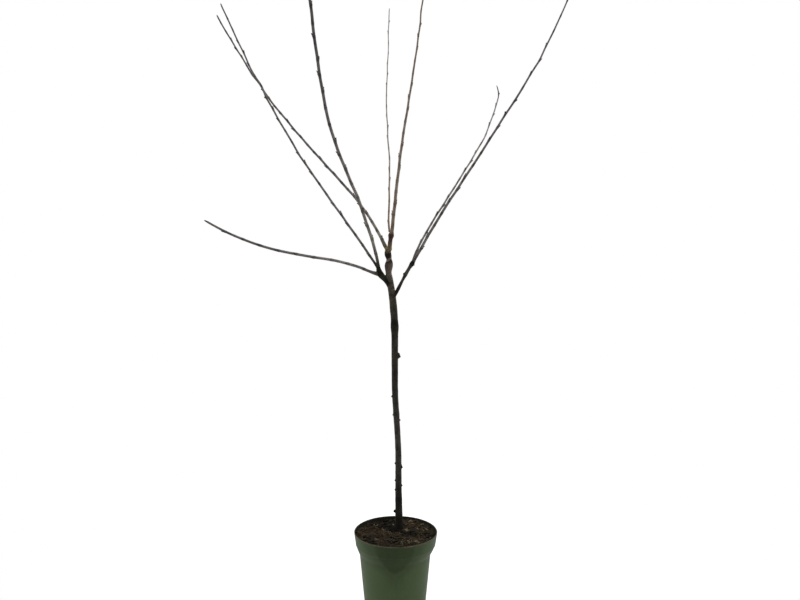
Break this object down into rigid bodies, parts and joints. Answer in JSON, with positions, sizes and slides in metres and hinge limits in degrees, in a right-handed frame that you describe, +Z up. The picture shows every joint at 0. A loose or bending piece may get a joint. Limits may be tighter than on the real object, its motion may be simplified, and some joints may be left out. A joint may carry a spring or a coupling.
{
  "type": "potted plum tree",
  "caption": "Young European plum tree in winter, bare of leaves: a slim trunk forks into long shoots, and it stands in a round nursery pot filled with soil.",
  "frame": {"origin": "middle of the pot's flat underside, on the surface that it stands on", "axes": "+Z is up along the pot's axis, and +X is to the right for someone who looks along +Y at the side that the picture shows"},
  "size_m": [0.908, 0.4741, 1.8198],
  "materials": {
    "pot_plastic": "dark olive-green moulded plastic with a low satin sheen",
    "potting_soil": "matte, crumbly, dark brown",
    "old_bark": "matte grey-brown bark with a fine grain",
    "grey_bark": "smooth grey bark with a faint sheen",
    "young_bark": "smooth brown-pink bark with a faint sheen"
  },
  "bodies": {
    "root": {"pot": "pot_plastic", "soil": "potting_soil", "trunk": "old_bark", "left_bough": "old_bark", "right_bough": "old_bark", "low_left_shoot": "grey_bark", "outer_left_shoot": "grey_bark", "crossing_left_shoot": "grey_bark", "tall_left_shoot": "grey_bark", "outer_right_shoot": "grey_bark", "fine_right_shoot": "grey_bark", "leader_shoot": "young_bark", "fine_centre_shoot": "young_bark"}
  },
  "joints": []
}
